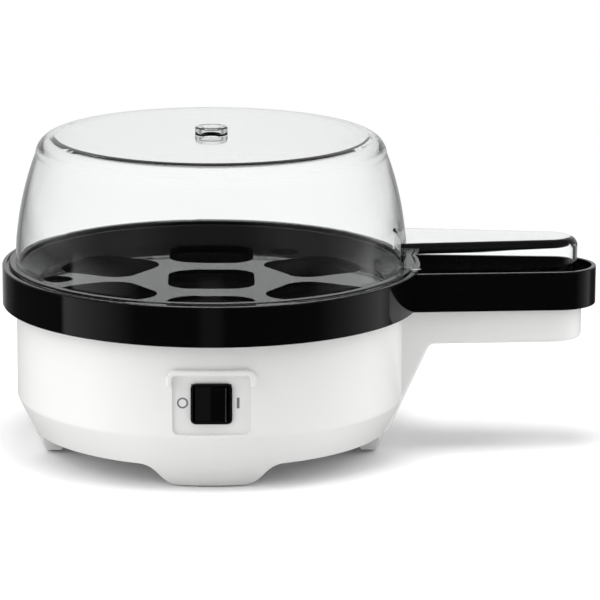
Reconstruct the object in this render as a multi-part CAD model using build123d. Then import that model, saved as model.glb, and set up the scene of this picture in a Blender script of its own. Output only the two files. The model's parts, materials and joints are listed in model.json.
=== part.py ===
from build123d import *
import math
import os

# Electric egg cooker: a round white housing on four wide feet, a black egg rack with a trough handle
# that lifts off it, and a clear lid with a channel handle that lifts off the rack. Sizes in millimetres.
# The pieces are built with the round body's axis at x = y = 0 and the table at z = 0, the handle
# pointing to +X and the switch to -Y. Each is then shifted so that the whole object's box is centred.

# White housing
housing_radius = 98.0
housing_wall = 2.0
rim_height = 90.7  # upper edge, where the egg rack sits
kink_height = 27.8  # where the upright wall turns in to the skirt
kink_radius = 4.0
cone_slope = 0.496  # how far the skirt turns in for each millimetre down
skirt_height = 11.6  # lower edge of the skirt above the table
ledge_drop = 14.2  # from the upper edge to the underside of the inner ledge that carries the dish
ledge_thickness = 2.0
ledge_width = 10.0  # from its inner edge to the housing's outside

# Feet of the housing and their pads
foot_low = 0.8
foot_half_bottom = 16.5
foot_half_top = 34.5
foot_shoulder_lift = 0.12  # slope at which a foot's shoulder meets the skirt
foot_shoulder_pull = 1.3
foot_thickness = 6.5
pad_width = 13.0
pad_depth = 4.6
pad_recess = 1.6
pad_fit = 0.05

# Handle of the housing
grip_inset = 2.8  # how much narrower than the rack's trough, on each side
grip_short = 7.0  # how much shorter than the trough
grip_taper = 0.0643
grip_under = 56.5
grip_top = 81.5
grip_wall = 2.0
grip_slant_start = 83.3  # where the slanted front of the gusset would meet the table
grip_slant = 0.461
grip_corner_radius = 4.0
grip_edge_radius = 2.0
grip_cover_root = 114.0
grip_cover_gap = 0.2
grip_screw_places = (128.0, 168.0)
gusset_floor = 3.2

# Switch panel, its hood and the rocker switch
panel_half_width = 18.9
panel_low = 29.1
panel_high = 58.9
panel_depth = 3.0  # how deep the flat panel lies in the round wall
panel_plate = 2.0
panel_corner = 3.5
hood_half_width = 21.6
hood_top = 62.1
hood_legs = 53.6
hood_bar = 2.7
hood_proud = 2.3
hood_edge = 0.9
hood_corner = 5.0
switch_middle = 44.7
bezel_half = 10.05
bezel_proud = 1.2
bezel_corner = 2.6
switch_body_half = 9.6
switch_body_fit = 0.1
switch_wall = 0.8
switch_depth = 21.0  # from the panel to the back of its body
switch_blade_places = (-5.0, 0.0)
switch_blade_reach = 6.0
rocker_pivot_depth = 2.5
rocker_radius = 8.6
rocker_half_height = 8.5
rocker_tilt = 6.5
rocker_shell = 1.2
rocker_face_rise = 3.7  # middle of the button's face in front of its pivot
rocker_back = 2.2
rocker_rim = 2.6
socket_half = 2.4  # the square post inside the button that holds spring and plunger
socket_bore = 1.7
socket_start = 1.2
spring_outer = 1.55
spring_inner = 1.0
plunger_radius = 1.5
plunger_shoulder = 3.6
plunger_nose = 0.8
plunger_nose_radius = 0.7
plunger_gap = 0.35  # least clearance between the plunger's nose and the lever
switch_back_wall = 1.5
blade_half_width = 3.0
blade_half_thickness = 0.4
contact_radius = 1.1
contact_proud = 0.5
contact_inset = 1.2
contact_gap = 1.0
pivot_pin_radius = 1.2
pivot_pin_length = 0.8
pin_running_gap = 0.05
lever_behind = 10.5  # from the rocker's pivot to the lever's
lever_half = 6.0
lever_thickness = 0.8
lever_height = 5.0
lever_tilt = 6.0
lever_bead = 0.6  # radius of the round bead that the lever rocks on

# Black egg rack
band_gap = 5.0  # between the band and the housing's wall
band_low = 74.5
band_lip = 1.1  # how far the band stands above the lid's seat
band_wall = 2.0
band_draft = 0.3
band_edge = 0.6  # rounding of the band's and the trough's outer edges
grip_lift = 0.5  # clearance of the rack's band over the housing's handle
seat_thickness = 2.5  # of the ledge that rests on the housing and carries the lid
seat_inset = 2.1  # from the housing's outside to the seat's inner edge
tray_gap = 1.95  # between the plate and the dish
slope_run = 8.7  # from the seat's inner edge to the flat plate
slope_skin = 1.6
tray_thickness = 2.0
egg_hole_margin = 5.45  # from the plate's edge to the outer holes
egg_hole_web = 16.5  # from the middle hole to the outer ones
egg_hole_corner = 12.5
steam_hole_radius = 7.35
steam_hole_inset = 10.2
trough_root_half = 25.5
trough_end = 194.0
trough_joint = 0.2  # past the band, where the handle's own piece begins
plate_joint = 0.1  # inside the plate's edge, where the rim's own piece begins
plate_sides = 12
plate_sectors = 6
trough_low = 73.6
trough_drop = 0.2  # how far its edge lies below the lid's seat
trough_wall = 2.2

# Clear lid
lid_wall = 2.0
lid_rise = 66.1  # of the flat top above the seat
lid_foot_out = 0.3  # of the dome's foot past the housing's wall
lid_flat_in = 20.3  # of the flat top's edge from the foot
lid_shoulder_in = (13.4, 2.9)  # in from the foot and down from the top, as the next two
lid_wall_top_in = (10.3, 9.3)
lid_wall_middle_in = (3.1, 34.3)
lid_flange_gap = 1.2  # between the lid's flange and the band
lid_flange_thickness = 2.2
lid_flange_edge = 0.8
lid_inner_corner = 6.0  # rounding inside the shoulder, tighter than outside
vent_outer_radius = 8.15
vent_hole_radius = 5.0
vent_proud = 4.0
vent_below = 2.0
vent_edge = 1.0
lid_grip_inset = 2.3
lid_grip_taper = 0.125
lid_grip_short = 9.6
lid_grip_top = 107.6
lid_grip_over = 2.7  # of its walls over the trough's floor
lid_grip_edge = 4.6
lid_grip_wall = 2.2
lid_grip_lift = 0.8  # clearance of the handle's walls over the rack's band
lid_grip_gap = 1.5  # and outside it

# Shared by the three handles
handle_start = 60.0  # where their plans begin, inside the body

# Heating dish and what is under it
dish_flange_gap = 3.5  # from the flange to the housing's outside
dish_wall_gap = 6.0  # between the ledge and the dish's wall
dish_lean = 4.0
dish_floor = 64.0
dish_sheet = 1.2
dish_corner = 4.0
dish_edge = 0.3
seal_thickness = 1.5
seal_width = 5.5
element_circle = 42.0
element_radius = 3.2
element_gap_angle = 20.0
element_bend = 8.0
element_leg_end = 44.0
element_play = 0.2
pin_radius = 1.2
pin_length = 8.0
shield_floor = 53.0
shield_sheet = 0.8
shield_rim_gap = 2.0  # between the shield's rim and the ledge's inner edge
shield_side_gap = 2.5  # between the shield's side and the dish's wall
shield_side_height = 61.0
shield_floor_gap = 8.0
leg_hole_radius = 5.0
stud_circle = 62.0
stud_radius = 2.0
stud_tail = 5.0
nut_across_corners = 8.0
nut_height = 3.2
thermostat_radius = 8.0
thermostat_body = 10.2
thermostat_cup = 2.0  # height of the narrower cup under its cap
thermostat_cup_radius = 6.5
thermostat_blade = 6.0
thermostat_blade_place = 4.0
bracket_half_length = 17.0
bracket_width = 18.0
bracket_sheet = 1.0
bracket_stud_place = 13.0
bracket_stud_radius = 1.5
bracket_room = 1.5  # how much larger the shield's window is than the bracket in it

# Base cover, terminal block, buzzer and wiring
cover_thickness = 2.2
cover_fit = 0.3
cover_screw_inset = 6.1  # from the cover's seat in the feet
screw_radius = 1.5
screw_head_radius = 3.0
screw_length = 9.0
screw_spare = 1.0  # how much deeper its hole is
boss_width = 7.0
boss_height = 11.0
boss_swell = 0.5
block_inset = 18.1
block_half = (16.0, 8.0)
block_height = 12.0
pole_pitch = 10.0
pole_height = 6.0  # the leads' height in the block
pole_seat = 8.0
pole_mouth_radius = 2.2
pole_screw_radius = 2.5
pole_screw_height = 2.6
pole_play = 0.1
block_screw_head = 2.2
block_screw_rise = 1.2
block_screw_radius = 1.4
gland_height = 38.0
gland_bore = 3.7
gland_neck = 6.0
gland_flange = 8.0
gland_inner_flange = 7.2
gland_slack = 0.5  # room for the round wall's curve between the two flanges
gland_flare = 1.5  # how much wider the mouth opens outside
gland_flare_length = 6.0
gland_fit = 0.1
gland_lip = 2.0
gland_tail = 9.5
buzzer_x = 45.0
buzzer_y = -24.0
coil_radius = 7.0
coil_height = 15.0
core_radius = 2.5
yoke_sheet = 1.2
yoke_width = 12.0
bobbin_flange = 1.0
winding_depth = 0.6
core_proud = 1.5
post_clearance = 4.5
armature_gap = 0.6
armature_play = 0.3
armature_sheet = 1.0
armature_tail = 6.0
armature_inset = 1.0
earth_place = (-24.0, 34.0)
earth_sheet = 0.8
earth_half = 3.2
earth_head = 1.6
earth_head_radius = 2.6
earth_screw_length = 4.0
fuse_radius = 2.0
fuse_length = 12.0
fuse_gap = 0.3
lead_radius = 1.2
thin_lead_radius = 0.8
lead_bend = 0.45  # share of the shorter run beside a bend that it takes
lead_start = 10.0  # straight run where a lead leaves a blade, a pin or the terminal block
live_way = ((-26.0, 22.0, 24.0), (-30.0, -12.0, 28.0), (-18.0, -44.0, 38.0))
switched_way = ((4.0, -40.0, 40.0), (-4.0, -18.0, 32.0))
element_way = ((14.0, 4.0, 30.0), (30.0, 9.0, 24.0))
neutral_way = ((6.0, 34.0, 28.0), (2.0, 34.0, 42.0))
fuse_way = ((50.0, 22.0, 40.0), (54.0, 2.0, 28.0))
earth_way = ((-9.0, 38.0, 28.0),)
fuse_lead_start = 8.0
buzzer_lead_gap = 2.0
buzzer_to_blade = ((37.0, -26.0, 23.3), (18.0, -20.0, 30.0))
buzzer_to_block = ((38.0, -21.0, 23.3), (26.0, 10.0, 18.0), (13.0, 38.0, 19.8))

# Clearances and small details shared by several pieces
cut_past = 1.0  # how far a cutter runs past the face that it leaves
screw_play = 0.2
cup_play = 0.1
thread_play = 0.05
screw_slot_half = 0.4
screw_slot_depth = 0.6
sunk_head = 1.2  # depth of a sunk screw head in the handle cover
flush_head = 1.0  # depth of a sunk screw head in the base cover
cover_slot_half = 1.25
cover_slot_reach = 14.0
cover_slot_pitch = 6.0
cover_slot_middle = 40.0
cover_slot_count = 9

# Worked out from the sizes above
cover_top = skirt_height + cover_thickness
core_top = cover_top + yoke_sheet + coil_height + core_proud
foot_inner = housing_radius - cone_slope * (kink_height - foot_low) - foot_thickness
cover_screw_circle = foot_inner - cover_screw_inset
block_place = foot_inner - block_inset
panel_floor = housing_radius - panel_depth
rocker_pivot = panel_floor - rocker_pivot_depth
lever_pivot = rocker_pivot - lever_behind
switch_rear = panel_floor - switch_depth
ledge_height = rim_height - ledge_drop
ledge_top = ledge_height + ledge_thickness
ledge_inner_radius = housing_radius - ledge_width
seal_top = ledge_top + seal_thickness
dish_flange_radius = housing_radius - dish_flange_gap
dish_wall_radius = ledge_inner_radius - dish_wall_gap
dish_floor_radius = dish_wall_radius - dish_lean
dish_under = dish_floor - dish_sheet
shield_rim_inner = ledge_inner_radius - shield_rim_gap
shield_side_radius = dish_wall_radius + shield_side_gap
shield_floor_radius = dish_floor_radius - shield_floor_gap
fuse_place = (22.0, 36.0, shield_floor - fuse_radius - fuse_gap)
tray_height = seal_top + dish_sheet + tray_gap + tray_thickness
slope_top_radius = housing_radius - seat_inset
tray_radius = slope_top_radius - slope_run
egg_hole = (tray_radius - egg_hole_margin - egg_hole_web) * 2 / 3
egg_hole_circle = tray_radius - egg_hole_margin - egg_hole / 2
steam_hole_circle = tray_radius - steam_hole_inset
band_radius = housing_radius + band_gap + band_wall
lid_seat = rim_height + seat_thickness
band_top = lid_seat + band_lip
trough_rim = lid_seat - trough_drop
trough_floor = grip_top + grip_lift + tray_thickness
root_radius_of_handles = band_radius - band_wall
grip_root_half = trough_root_half - grip_inset
grip_end = trough_end - grip_short
lid_flange_radius = band_radius - band_wall - lid_flange_gap
lid_foot_radius = housing_radius + lid_foot_out
lid_top = lid_seat + lid_rise
lid_flat_radius = lid_foot_radius - lid_flat_in
lid_shoulder = (lid_foot_radius - lid_shoulder_in[0], lid_top - lid_shoulder_in[1])
lid_wall_top = (lid_foot_radius - lid_wall_top_in[0], lid_top - lid_wall_top_in[1])
lid_wall_middle = (lid_foot_radius - lid_wall_middle_in[0], lid_top - lid_wall_middle_in[1])
lid_grip_root_half = trough_root_half - lid_grip_inset
lid_grip_end = trough_end - lid_grip_short
lid_grip_low = trough_floor + lid_grip_over
frame_shift = (band_radius - trough_end) / 2


def cone_radius(height):
    """Outer radius of the inward-leaning skirt at a height below the kink."""
    return housing_radius - cone_slope * (kink_height - height)


def around(points):
    """Solid of revolution about the body's axis from (radius, height) points."""
    return revolve(Plane.XZ * make_face(Polyline(points, close=True)), Axis.Z)


def upright(x, y, radius, low, high):
    """Standing cylinder between two heights."""
    return Pos(x, y, (low + high) / 2) * Cylinder(radius, high - low)


def drilled(x, y, radius, low, high):
    """Upright cutter that runs past both heights."""
    return upright(x, y, radius, low - cut_past, high + cut_past)


def block(x_low, x_high, y_low, y_high, z_low, z_high):
    """Box between stated faces."""
    middle = Pos((x_low + x_high) / 2, (y_low + y_high) / 2, (z_low + z_high) / 2)
    return middle * Box(x_high - x_low, y_high - y_low, z_high - z_low)


def lying_y(x, z, radius, y_low, y_high):
    """Cylinder along Y between two places."""
    return Pos(x, (y_low + y_high) / 2, z) * Rot(90, 0, 0) * Cylinder(radius, y_high - y_low)


def front_plate(half_width, z_low, z_high, corner, y_low, y_high):
    """Rounded rectangle in the XZ plane, filled between two distances along Y."""
    outline = RectangleRounded(2 * half_width, z_high - z_low, corner)
    face = Plane((0, y_low, (z_low + z_high) / 2), x_dir=(1, 0, 0), z_dir=(0, 1, 0)) * outline
    return extrude(face, y_high - y_low)


def handle_plan(root_half, taper, end, inset=0.0):
    """Plan of a tapering handle with a round end, as a face at z = 0."""
    lean = math.atan(taper)
    half_at_zero = root_half + taper * root_radius_of_handles
    end_radius = (half_at_zero - taper * end) * math.cos(lean) / (1 - math.sin(lean))
    centre = end - end_radius
    radius = end_radius - inset
    touch_x = centre + radius * math.sin(lean)
    touch_y = radius * math.cos(lean)
    root_y = touch_y + taper * (touch_x - handle_start)
    side = Line((handle_start, root_y), (touch_x, touch_y))
    tip = ThreePointArc((touch_x, touch_y), (centre + radius, 0), (touch_x, -touch_y))
    back = Line((touch_x, -touch_y), (handle_start, -root_y))
    heel = Line((handle_start, -root_y), (handle_start, root_y))
    return make_face([side, tip, back, heel])


def handle_bar(plan, low, high):
    """A handle's plan filled between two heights."""
    return extrude(Pos(0, 0, low) * plan, high - low)


def rounded_rim(bar, height, radius):
    """Round a handle's edge at a height, all but the part inside the body."""
    rim = bar.edges().filter_by_position(Axis.Z, height - 0.01, height + 0.01)
    return fillet(rim.sort_by(Axis.X)[1:], radius)


def side_profile(slant_inset, low, high):
    """Side view of the housing's handle with its slanted gusset, filled across Y."""
    slant_low = grip_slant_start + grip_slant * skirt_height - slant_inset
    slant_high = grip_slant_start + grip_slant * grip_under - slant_inset
    bottom = skirt_height - cut_past
    far = 2 * grip_end
    points = [
        (handle_start, bottom),
        (slant_low - grip_slant * cut_past, bottom),
        (slant_high + grip_slant * (low - grip_under), low),
        (far, low),
        (far, high),
        (handle_start, high),
    ]
    radii = [0, 0, grip_corner_radius, 0, 0, 0]
    outline = FilletPolyline(points, radius=radii, close=True)
    return extrude(Plane.XZ * make_face(outline), 2 * grip_root_half, both=True)


def grip_outside():
    """Outer form of the housing's handle and gusset, with a rounded lower edge."""
    plan = handle_plan(grip_root_half, grip_taper, grip_end)
    form = handle_bar(plan, skirt_height, grip_top) & side_profile(0, grip_under, grip_top)
    return rounded_rim(form, grip_under, grip_edge_radius)


def grip_inside():
    """Hollow of the housing's handle and gusset."""
    plan = handle_plan(grip_root_half, grip_taper, grip_end, inset=grip_wall)
    tall = handle_bar(plan, skirt_height + gusset_floor, grip_top - grip_wall)
    return tall & side_profile(grip_wall * math.hypot(1, grip_slant), grip_under - cut_past, grip_top)


def foot_outline():
    """Side view of one foot, with an S-shaped shoulder on both sides, open towards the body."""
    right = Spline(
        [(foot_half_bottom, foot_low), (foot_half_top, skirt_height)],
        tangents=[(1, foot_shoulder_lift), (1, foot_shoulder_lift)],
        tangent_scalars=[foot_shoulder_pull, foot_shoulder_pull],
    )
    below = Polyline(
        (foot_half_bottom, foot_low),
        (foot_half_bottom, -cut_past),
        (-foot_half_bottom, -cut_past),
        (-foot_half_bottom, foot_low),
    )
    above = Polyline(
        (foot_half_top, skirt_height),
        (foot_half_top, skirt_height + cut_past),
        (-foot_half_top, skirt_height + cut_past),
        (-foot_half_top, skirt_height),
    )
    return make_face([right, *above.edges(), mirror(right, Plane.YZ), *below.edges()])


def gaps_between_feet():
    """What is cut from below the skirt's edge to leave the four feet."""
    slab = upright(0, 0, housing_radius + cut_past, -cut_past / 2, skirt_height)
    foot = extrude(Plane.XZ * foot_outline(), 2 * housing_radius)
    for turn in range(4):
        slab -= Rot(0, 0, 90 * turn) * foot
    return slab


def pad_box(extra, top):
    """Place of one foot pad at the front, grown by a clearance."""
    middle = cone_radius(foot_low) - foot_thickness / 2
    half_width = pad_width / 2 + extra
    half_depth = pad_depth / 2 + extra
    return block(-half_width, half_width, -middle - half_depth, -middle + half_depth, 0, top)


def cover_bosses():
    """Four ribs inside the skirt that take the base cover's screws."""
    rib = block(
        cover_screw_circle - boss_width / 2,
        housing_radius,
        -boss_width / 2,
        boss_width / 2,
        cover_top,
        cover_top + boss_height,
    )
    end = upright(cover_screw_circle, 0, boss_width / 2 + boss_swell, cover_top, cover_top + boss_height)
    return [Rot(0, 0, 45 + 90 * turn) * (rib + end) for turn in range(4)]


def make_housing():
    outline = FilletPolyline(
        [
            (0, foot_low),
            (cone_radius(foot_low), foot_low),
            (housing_radius, kink_height),
            (housing_radius, rim_height),
            (0, rim_height),
        ],
        radius=[0, 0, kink_radius, 0, 0],
        close=True,
    )
    outside = revolve(Plane.XZ * make_face(outline), Axis.Z)
    inside = around(
        [
            (0, 0),
            (foot_inner, 0),
            (foot_inner, cover_top),
            (cone_radius(cover_top) - housing_wall, cover_top),
            (housing_radius - housing_wall, kink_height),
            (housing_radius - housing_wall, rim_height + cut_past),
            (0, rim_height + cut_past),
        ]
    )
    ledge = around(
        [
            (ledge_inner_radius, ledge_height),
            (housing_radius - housing_wall / 2, ledge_height),
            (housing_radius - housing_wall / 2, ledge_top),
            (ledge_inner_radius, ledge_top),
        ]
    )
    plate = front_plate(
        panel_half_width + panel_plate,
        panel_low - panel_plate,
        panel_high + panel_plate,
        panel_corner,
        -housing_radius,
        -panel_floor + panel_plate,
    )
    shell = (outside + grip_outside()) - inside - grip_inside()
    shell += ledge
    for boss in cover_bosses():
        shell += boss & outside
    for place in grip_screw_places:
        shell += upright(place, 0, boss_width / 2, grip_under + grip_wall, grip_top - grip_wall / 2)
    shell += plate & outside
    shell += make_hood()
    shell -= gaps_between_feet()

    outer = -housing_radius - hood_proud - cut_past
    shell -= front_plate(panel_half_width, panel_low, panel_high, panel_corner, outer, -panel_floor)
    window = switch_body_half + switch_body_fit
    shell -= block(
        -window,
        window,
        -housing_radius,
        -panel_floor + panel_plate + cut_past,
        switch_middle - window,
        switch_middle + window,
    )
    shell -= lying_y(0, gland_height, gland_neck + gland_fit, ledge_inner_radius, housing_radius + cut_past)
    for turn in range(4):
        shell -= Rot(0, 0, 90 * turn) * pad_box(pad_fit, foot_low + pad_recess)
        hole = upright(cover_screw_circle, 0, screw_radius, cover_top - cut_past, cover_top + screw_length)
        shell -= Rot(0, 0, 45 + 90 * turn) * hole
    for place in grip_screw_places:
        low = grip_under + grip_wall
        shell -= upright(place, 0, screw_radius, low - cut_past, low + screw_length)
    return shell


def make_hood():
    """Raised inverted U over the switch panel, following the round wall."""
    outer = hood_half_width
    inner = hood_half_width - hood_bar
    height = hood_top - hood_legs
    bar = RectangleRounded(2 * outer, 2 * height, hood_corner)
    gap = RectangleRounded(2 * inner, 2 * (height - hood_bar), hood_corner - hood_bar)
    below = Pos(0, -height) * Rectangle(4 * outer, 2 * height)
    face = Plane((0, 0, hood_legs), x_dir=(1, 0, 0), z_dir=(0, -1, 0)) * (bar - gap - below)
    column = extrude(face, 2 * housing_radius)
    low = hood_legs - cut_past
    high = hood_top + cut_past
    wall = upright(0, 0, housing_radius + hood_proud, low, high)
    wall -= upright(0, 0, housing_radius - housing_wall / 2, low, high)
    hood = column & wall
    limit = housing_radius + hood_proud - hood_edge / 2
    spots = [0, 0.5, 1]
    outside = [e for e in hood.edges() if all(Vector((e @ t).X, (e @ t).Y, 0).length > limit for t in spots)]
    return fillet(outside, hood_edge)


def make_foot_pads():
    pad = pad_box(0, foot_low + pad_recess)
    return [Rot(0, 0, 90 * turn) * pad for turn in range(4)]


def make_handle_cover():
    plan = handle_plan(grip_root_half, grip_taper, grip_end, inset=grip_wall + grip_cover_gap)
    top = grip_under + grip_wall
    plate = handle_bar(plan, grip_under, top)
    plate &= block(grip_cover_root, grip_end, -grip_end, grip_end, grip_under, top)
    head_hole = screw_head_radius + screw_play
    for place in grip_screw_places:
        plate -= drilled(place, 0, screw_radius + screw_play, grip_under, top)
        plate -= upright(place, 0, head_hole, grip_under - cut_past, grip_under + sunk_head)
    return plate


def screw(x, y, seat, head_height):
    """Cross-slotted screw driven upwards, its head's flat top at the seat height."""
    bottom = seat - head_height
    head = upright(x, y, screw_head_radius, bottom, seat)
    shank = upright(x, y, screw_radius - thread_play, seat, seat + screw_length - screw_spare)
    wide = screw_head_radius
    thin = screw_slot_half
    slots = block(x - wide, x + wide, y - thin, y + thin, bottom, bottom + screw_slot_depth)
    slots += block(x - thin, x + thin, y - wide, y + wide, bottom, bottom + screw_slot_depth)
    return head + shank - slots


def make_handle_cover_screws():
    return [screw(place, 0, grip_under + sunk_head, sunk_head) for place in grip_screw_places]


def make_base_cover():
    plate = upright(0, 0, foot_inner - cover_fit, skirt_height, cover_top)
    bottom = skirt_height - cut_past
    head_radius = screw_head_radius + screw_play
    head_hole = upright(cover_screw_circle, 0, head_radius, bottom, skirt_height + flush_head)
    screw_hole = drilled(cover_screw_circle, 0, screw_radius + screw_play, skirt_height, cover_top)
    for turn in range(4):
        plate -= Rot(0, 0, 45 + 90 * turn) * (head_hole + screw_hole)
    for side in (-1, 1):
        plate -= drilled(side * pole_pitch / 2, block_place, block_screw_radius, skirt_height, cover_top)
    first = -cover_slot_middle - cover_slot_pitch * (cover_slot_count - 1) / 2
    for number in range(cover_slot_count):
        y = first + cover_slot_pitch * number
        plate -= block(
            -cover_slot_reach,
            cover_slot_reach,
            y - cover_slot_half,
            y + cover_slot_half,
            skirt_height - cut_past,
            cover_top + cut_past,
        )
    return plate


def make_cover_screws():
    one = screw(cover_screw_circle, 0, skirt_height + flush_head, flush_head)
    return [Rot(0, 0, 45 + 90 * turn) * one for turn in range(4)]


def make_heating_dish():
    top = seal_top + dish_sheet
    slope = (dish_wall_radius - dish_floor_radius) / (top - dish_floor)
    outer_floor = dish_floor_radius + slope * dish_sheet
    outline = FilletPolyline(
        [
            (0, dish_floor),
            (dish_floor_radius, dish_floor),
            (dish_wall_radius, top),
            (dish_flange_radius, top),
            (dish_flange_radius, seal_top),
            (dish_wall_radius + dish_sheet, seal_top),
            (outer_floor, dish_under),
            (0, dish_under),
        ],
        radius=[0, dish_corner, dish_sheet + dish_edge, 0, 0, dish_edge, dish_corner + dish_sheet, 0],
        close=True,
    )
    return revolve(Plane.XZ * make_face(outline), Axis.Z)


def make_dish_seal():
    outer = dish_flange_radius
    ring = upright(0, 0, outer, ledge_top, seal_top)
    return ring - upright(0, 0, outer - seal_width, ledge_top - cut_past, seal_top + cut_past)


def element_path():
    """Centre line of the tubular element: leg, bend, open ring, bend, leg."""
    middle = dish_under - element_play - element_radius
    start = math.radians(element_gap_angle)
    ring_end = Vector(element_circle * math.cos(start), element_circle * math.sin(start), middle)
    ring_way = Vector(math.sin(start), -math.cos(start), 0)
    corner = ring_end + ring_way * element_bend
    leg_top = corner - Vector(0, 0, element_bend)
    bend_middle = ring_end + ring_way * (element_bend * math.sin(math.pi / 4))
    bend_middle -= Vector(0, 0, element_bend * (1 - math.cos(math.pi / 4)))
    leg_foot = Vector(corner.X, corner.Y, element_leg_end)

    def opposite(point):
        return Vector(point.X, -point.Y, point.Z)

    pieces = [
        Line(leg_foot, leg_top),
        ThreePointArc(leg_top, bend_middle, ring_end),
        ThreePointArc(ring_end, (-element_circle, 0, middle), opposite(ring_end)),
        ThreePointArc(opposite(ring_end), opposite(bend_middle), opposite(leg_top)),
        Line(opposite(leg_top), opposite(leg_foot)),
    ]
    return Wire(pieces), leg_foot


def sweep_round(path, radius, start, direction):
    """Round bar along a path that leaves its start in a direction."""
    return sweep(Plane(start, z_dir=direction) * Circle(radius), path=path)


def make_heating_element():
    path, foot = element_path()
    return sweep_round(path, element_radius, foot, (0, 0, 1))


def leg_places():
    foot = element_path()[1]
    return [(foot.X, foot.Y), (foot.X, -foot.Y)]


def make_element_pins():
    low = element_leg_end - pin_length
    return [upright(x, y, pin_radius, low, element_leg_end) for x, y in leg_places()]


def stud_places():
    """Three places on the dish's underside where the long studs stand."""
    angles = [math.radians(90 + 120 * number) for number in range(3)]
    return [(stud_circle * math.cos(a), stud_circle * math.sin(a)) for a in angles]


def make_dish_studs():
    studs = [upright(x, y, stud_radius, shield_floor - stud_tail, dish_under) for x, y in stud_places()]
    low = bracket_under() - stud_tail
    for side in (-1, 1):
        studs.append(upright(side * bracket_stud_place, 0, bracket_stud_radius, low, dish_under))
    return studs


def nut(x, y, top, bore):
    """Hexagon nut with its upper face at a height."""
    body = Pos(x, y, top - nut_height) * extrude(RegularPolygon(nut_across_corners / 2, 6), nut_height)
    return body - drilled(x, y, bore + thread_play, top - nut_height, top)


def make_stud_nuts():
    nuts = [nut(x, y, shield_floor, stud_radius) for x, y in stud_places()]
    small = [nut(side * bracket_stud_place, 0, bracket_under(), bracket_stud_radius) for side in (-1, 1)]
    return nuts + small


def make_heat_shield():
    rim_under = ledge_height - shield_sheet
    points = [
        (0, shield_floor),
        (shield_floor_radius, shield_floor),
        (shield_side_radius, shield_side_height),
        (shield_rim_inner, rim_under),
        (dish_flange_radius, rim_under),
        (dish_flange_radius, ledge_height),
        (shield_rim_inner - shield_sheet, ledge_height),
        (shield_side_radius - shield_sheet, shield_side_height + shield_sheet / 2),
        (shield_floor_radius, shield_floor + shield_sheet),
        (0, shield_floor + shield_sheet),
    ]
    pan = around(points)
    over = shield_floor + shield_sheet
    long = bracket_half_length + bracket_room
    wide = bracket_width / 2 + bracket_room
    pan -= block(-long, long, -wide, wide, shield_floor - cut_past, over + cut_past)
    for x, y in leg_places():
        pan -= drilled(x, y, leg_hole_radius, shield_floor, over)
    for x, y in stud_places():
        pan -= drilled(x, y, stud_radius + screw_play, shield_floor, over)
    x, y = earth_place
    return pan - drilled(x, y, screw_radius, shield_floor, over)


def make_earth_tab():
    x, y = earth_place
    half = earth_half
    under = shield_floor - earth_sheet
    tongue = block(x - half, x + half, y - half, y + half, under, shield_floor)
    return tongue - drilled(x, y, screw_radius, under, shield_floor)


def make_earth_screw():
    x, y = earth_place
    seat = shield_floor - earth_sheet
    head = upright(x, y, earth_head_radius, seat - earth_head, seat)
    return head + upright(x, y, screw_radius - thread_play, seat, seat + earth_screw_length)


def bracket_under():
    return dish_under - thermostat_body + thermostat_cup - bracket_sheet


def make_thermostat():
    low = dish_under - thermostat_body
    whole = upright(0, 0, thermostat_radius, low + thermostat_cup, dish_under)
    whole += upright(0, 0, thermostat_cup_radius, low, low + thermostat_cup)
    thin = blade_half_thickness
    wide = blade_half_width
    for side in (-1, 1):
        x = side * thermostat_blade_place
        whole += block(x - thin, x + thin, -wide, wide, low - thermostat_blade, low)
    return whole


def make_thermostat_bracket():
    under = bracket_under()
    half = bracket_width / 2
    strip = block(-bracket_half_length, bracket_half_length, -half, half, under, under + bracket_sheet)
    over = under + bracket_sheet
    strip -= drilled(0, 0, thermostat_cup_radius + cup_play, under, over)
    for side in (-1, 1):
        strip -= drilled(side * bracket_stud_place, 0, bracket_stud_radius + screw_play, under, over)
    return strip


def switch_box(x, half_x, y_low, y_high, half_height):
    """Box about the switch's middle height."""
    low = switch_middle - half_height
    return block(x - half_x, x + half_x, y_low, y_high, low, low + 2 * half_height)


def make_switch_housing():
    front = -panel_floor - bezel_proud
    inner = switch_body_half - switch_wall
    low = switch_middle - bezel_half
    shell = front_plate(bezel_half, low, low + 2 * bezel_half, bezel_corner, front, -panel_floor)
    shell += switch_box(0, switch_body_half, -panel_floor, -switch_rear, switch_body_half)
    shell -= switch_box(0, inner, front - cut_past, -switch_rear - switch_back_wall, inner)
    pin_half = rocker_half_height + pivot_pin_length + pin_running_gap
    hole = pivot_pin_radius + pin_running_gap
    shell -= upright(0, -rocker_pivot, hole, switch_middle - pin_half, switch_middle + pin_half)
    half_x = blade_half_thickness + thread_play
    half_z = blade_half_width + thread_play
    for x in switch_blade_places:
        shell -= switch_box(x, half_x, -switch_rear - 2 * switch_back_wall, -switch_rear + cut_past, half_z)
    return shell


def turned(shape, y, degrees):
    """A piece of the switch turned about an upright line on the switch's middle plane."""
    return Pos(0, y, 0) * Rot(0, 0, degrees) * Pos(0, -y, 0) * shape


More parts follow.
